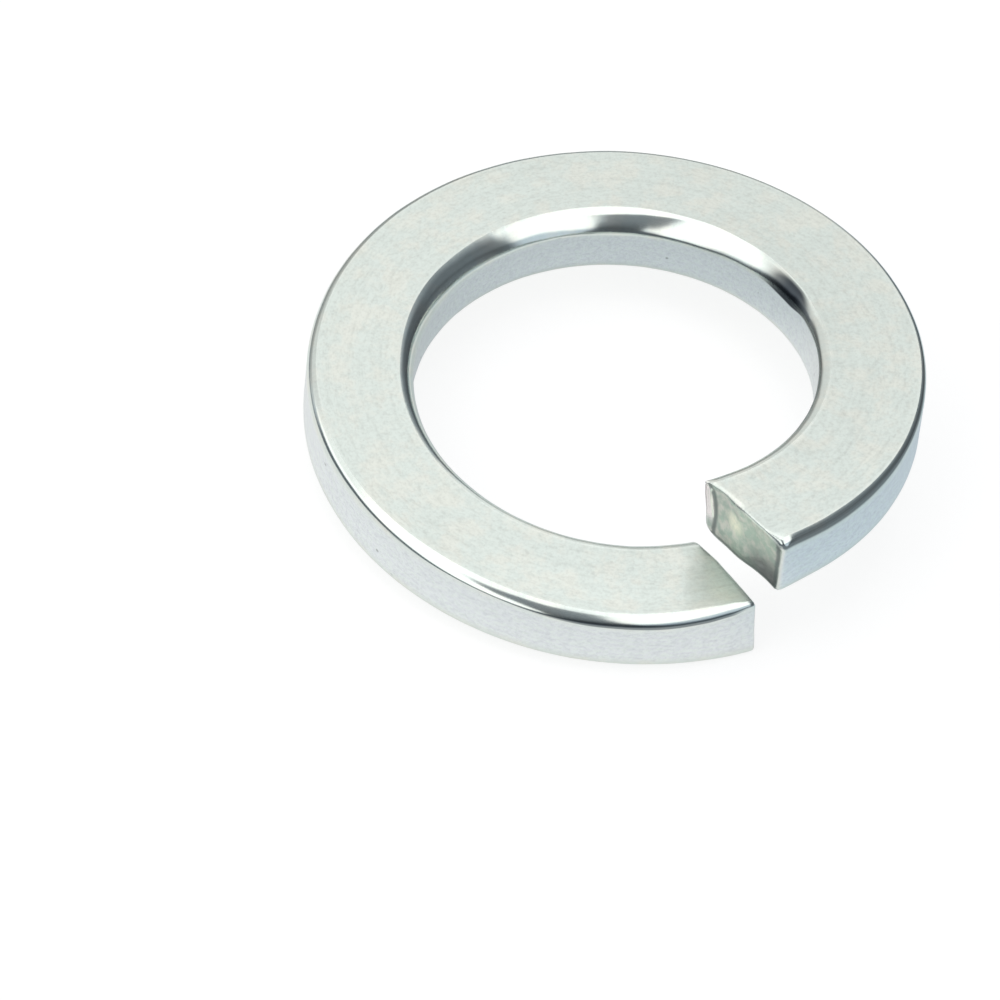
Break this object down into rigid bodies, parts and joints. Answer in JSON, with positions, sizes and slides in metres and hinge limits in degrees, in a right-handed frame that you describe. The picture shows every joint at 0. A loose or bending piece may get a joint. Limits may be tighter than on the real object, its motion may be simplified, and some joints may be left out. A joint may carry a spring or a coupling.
{
  "type": "spring lock washer",
  "caption": "Split helical spring lock washer of keystone wire with slanted sheared ends, for an M16 screw; bright satin zinc-coated spring steel.",
  "frame": {"origin": "On the axis of the bore, level with the lowest point of the low end, at the middle of the bounding box's bottom.", "axes": "+Z is the axis of the bore and points from the low end to the high end; the split faces -Y, with the low end on its -X side and the high end on its +X side; the coil climbs clockwise as seen from +Z."},
  "size_m": [0.025, 0.0248, 0.0061],
  "materials": {
    "zinc_coated_steel": "satin"
  },
  "bodies": {
    "root": {"lock_washer": "zinc_coated_steel"}
  },
  "joints": []
}
